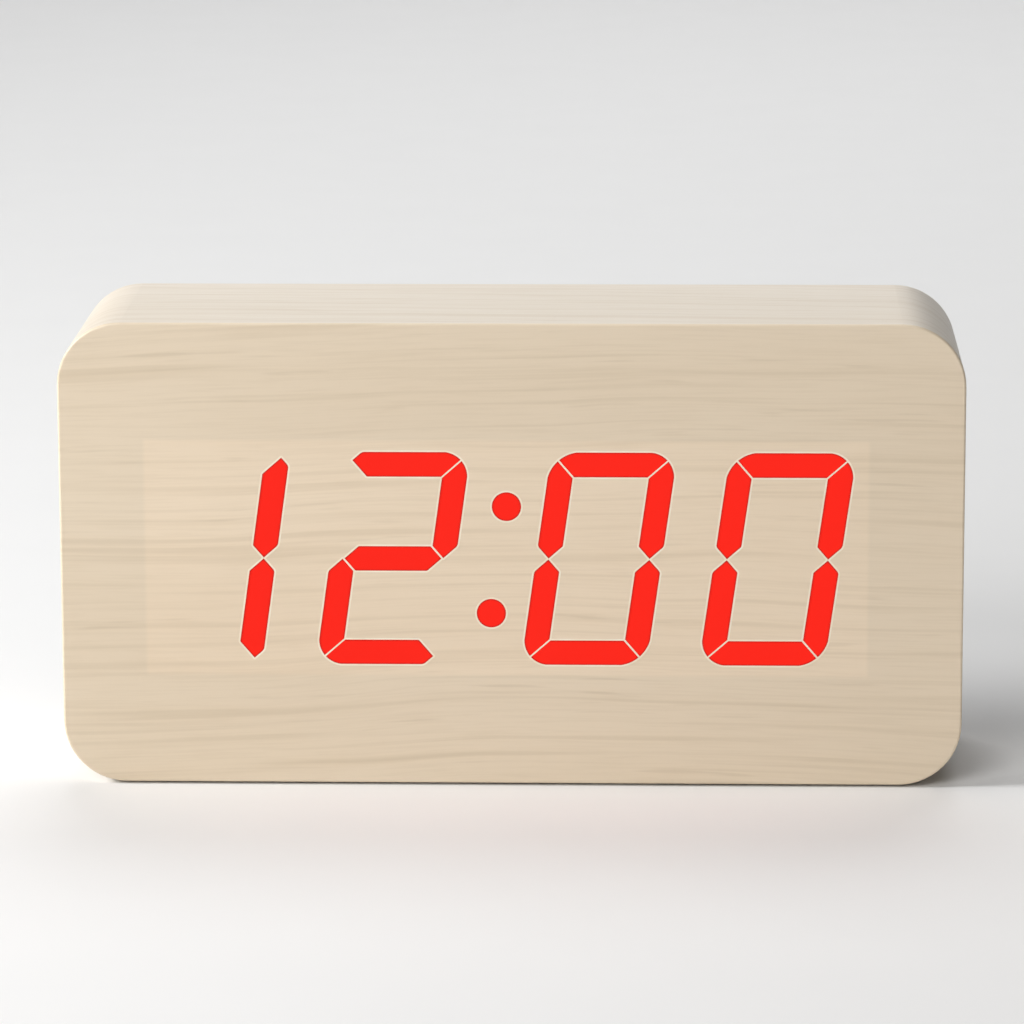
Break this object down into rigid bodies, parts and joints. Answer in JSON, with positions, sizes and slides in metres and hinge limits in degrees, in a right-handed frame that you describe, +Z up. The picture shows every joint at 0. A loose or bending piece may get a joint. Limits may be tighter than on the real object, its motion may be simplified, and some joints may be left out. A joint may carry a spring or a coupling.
{
  "type": "alarm clock",
  "caption": "Rounded wood-effect block clock with a red segment display, rear buttons, a hinged battery door and a power inlet.",
  "frame": {"origin": "on the table, under the middle of the clock", "axes": "+X to the right as seen from the front, +Y from the front to the rear, +Z up"},
  "size_m": [0.15, 0.04, 0.0784],
  "materials": {
    "maple_veneer": "pale straight-grained maple, satin",
    "fibreboard": "raw MDF",
    "foot_pad": "thin matt pad",
    "reflector_plastic": "pale cream, diffuse",
    "lit_red": "translucent diffuser lit red",
    "unlit_diffuser": "milky diffuser",
    "led_lens": "clear tinted resin",
    "board_green": "solder mask",
    "steel_zinc": "zinc-plated",
    "chip_black": "moulded epoxy",
    "crystal_can": "plated can",
    "resistor_body": "glazed ceramic",
    "capacitor_can": "satin can",
    "buzzer_black": "moulded",
    "cover_black": "fine-textured ABS",
    "button_black": "smooth ABS",
    "cell_sleeve": "plain printed sleeve, no lettering",
    "contact_nickel": "nickel-plated spring steel",
    "switch_black": "moulded nylon",
    "dome_steel": "stainless",
    "stem_white": "moulded acetal",
    "usb_steel": "nickel-plated shell",
    "tongue_black": "moulded",
    "ribbon_grey": "flat cable insulation",
    "socket_white": "moulded nylon",
    "wire_red": "wire insulation",
    "wire_black": "wire insulation"
  },
  "bodies": {
    "clock": {"wood_case": "fibreboard", "front_veneer": "maple_veneer", "side_veneer": "maple_veneer", "rear_veneer": "maple_veneer", "feet": "foot_pad", "segment_reflector": "reflector_plastic", "hour_tens_lit": "lit_red", "hour_units_lit": "lit_red", "minute_tens_lit": "lit_red", "minute_units_lit": "lit_red", "colon_lit": "lit_red", "unlit_segments": "unlit_diffuser", "segment_leds": "led_lens", "main_board": "board_green", "main_board_screws": "steel_zinc", "microcontroller": "chip_black", "led_drivers": "chip_black", "voltage_regulator": "chip_black", "crystal": "crystal_can", "resistors": "resistor_body", "capacitors": "capacitor_can", "buzzer": "buzzer_black", "rear_cover": "cover_black", "rear_screws": "steel_zinc", "cell_bottom": "cell_sleeve", "cell_middle": "cell_sleeve", "cell_top": "cell_sleeve", "contact_plates": "contact_nickel", "contact_springs": "contact_nickel", "button_board": "board_green", "button_board_screws": "steel_zinc", "switch_bodies": "switch_black", "switch_domes": "dome_steel", "usb_shell": "usb_steel", "usb_tongue": "tongue_black", "ribbon_cable": "ribbon_grey", "ribbon_sockets": "socket_white", "lead_red": "wire_red", "lead_black": "wire_black"},
    "set_cap": {"set_button": "button_black", "set_stem": "stem_white"},
    "up_cap": {"up_button": "button_black", "up_stem": "stem_white"},
    "down_cap": {"down_button": "button_black", "down_stem": "stem_white"},
    "door": {"battery_door": "cover_black"}
  },
  "joints": [
    {"name": "set_press", "type": "slide", "parent": "clock", "child": "set_cap", "axis": [0, -1, 0], "range_m": [0, 0.0005], "stiffness_N_per_m": 2000},
    {"name": "up_press", "type": "slide", "parent": "clock", "child": "up_cap", "axis": [0, -1, 0], "range_m": [0, 0.0005], "stiffness_N_per_m": 2000},
    {"name": "down_press", "type": "slide", "parent": "clock", "child": "down_cap", "axis": [0, -1, 0], "range_m": [0, 0.0005], "stiffness_N_per_m": 2000},
    {"name": "battery_door_hinge", "type": "hinge", "parent": "clock", "child": "door", "pos_m": [0.032, 0.0172, 0.0561], "axis": [1, 0, 0], "range_deg": [0, 90]}
  ]
}
